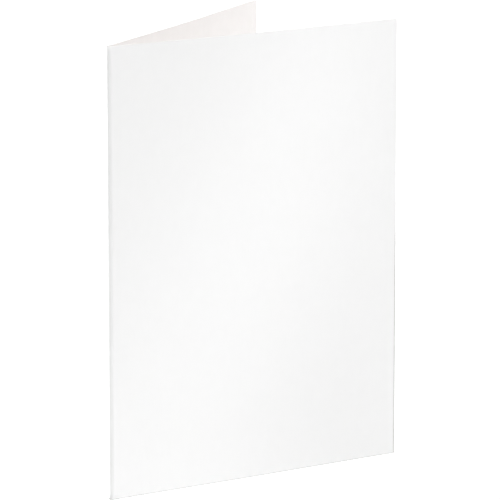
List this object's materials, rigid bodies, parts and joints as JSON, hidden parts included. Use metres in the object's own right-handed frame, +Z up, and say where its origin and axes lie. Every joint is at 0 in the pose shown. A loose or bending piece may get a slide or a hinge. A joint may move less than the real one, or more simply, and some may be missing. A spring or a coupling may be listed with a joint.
{
  "type": "photo folder",
  "caption": "White card photo folder standing ajar as an upright V, with a narrow creased spine and, inside each cover, a window mat whose taped edges leave a slot for a print.",
  "frame": {"origin": "middle of the footprint, on the surface that the folder stands on", "axes": "+Z up along the spine, +X from the spine to the open edges along the middle of the V, -Y towards the front cover's outside"},
  "size_m": [0.1492, 0.0896, 0.21],
  "materials": {
    "cover_card": "satin",
    "mat_board": "matte",
    "tape": "matte"
  },
  "bodies": {
    "spine": {"spine": "cover_card"},
    "back_leaf": {"back_cover": "cover_card", "back_mat": "mat_board", "back_tape_bottom": "tape", "back_tape_top": "tape", "back_tape_spine": "tape"},
    "front_leaf": {"front_cover": "cover_card", "front_mat": "mat_board", "front_tape_bottom": "tape", "front_tape_top": "tape", "front_tape_spine": "tape"}
  },
  "joints": [
    {"name": "front_crease", "type": "hinge", "parent": "spine", "child": "front_leaf", "pos_m": [-0.07455, -0.00125, 0.105], "axis": [0, 0, -1], "range_deg": [-16.3, 73.7]},
    {"name": "back_crease", "type": "hinge", "parent": "spine", "child": "back_leaf", "pos_m": [-0.07455, 0.00125, 0.105], "axis": [0, 0, 1], "range_deg": [-16.3, 73.7]}
  ]
}
